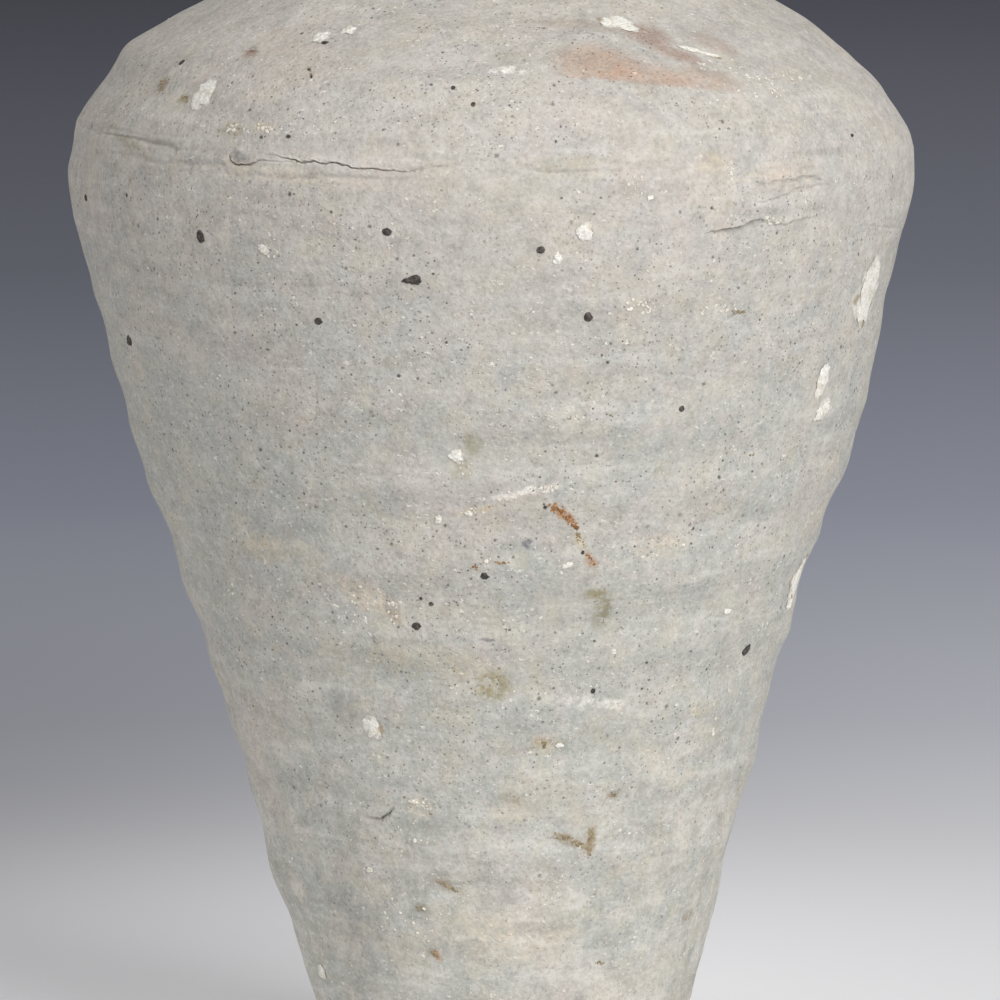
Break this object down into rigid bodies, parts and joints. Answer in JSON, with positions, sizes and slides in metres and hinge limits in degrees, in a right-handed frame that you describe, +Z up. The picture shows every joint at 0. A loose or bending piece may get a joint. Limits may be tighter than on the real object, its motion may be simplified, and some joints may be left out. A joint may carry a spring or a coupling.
{
  "type": "mercury storage jar",
  "caption": "Unglazed grey stoneware bottle with a broad shoulder, a wall tapered to a narrow foot, a small thick-lipped mouth and a lift-out wooden bung.",
  "frame": {"origin": "centre of the foot's underside, on the jar's axis", "axes": "+Z up along the jar's axis; the side that the picture shows faces -Y"},
  "size_m": [0.14, 0.14, 0.2207],
  "materials": {
    "grey_stoneware": "matt, unglazed, fine iron specks, stained",
    "luting_clay": "matt, scraped and smeared",
    "bung_wood": "dry, whittled, weathered"
  },
  "bodies": {
    "jar": {"lower_body": "grey_stoneware", "shoulder": "grey_stoneware", "luting_coil": "luting_clay", "mouth": "grey_stoneware"},
    "bung": {"bung": "bung_wood"}
  },
  "joints": [
    {"name": "bung_lift", "type": "slide", "parent": "jar", "child": "bung", "axis": [0, 0, 1], "range_m": [0, 0.04]}
  ]
}
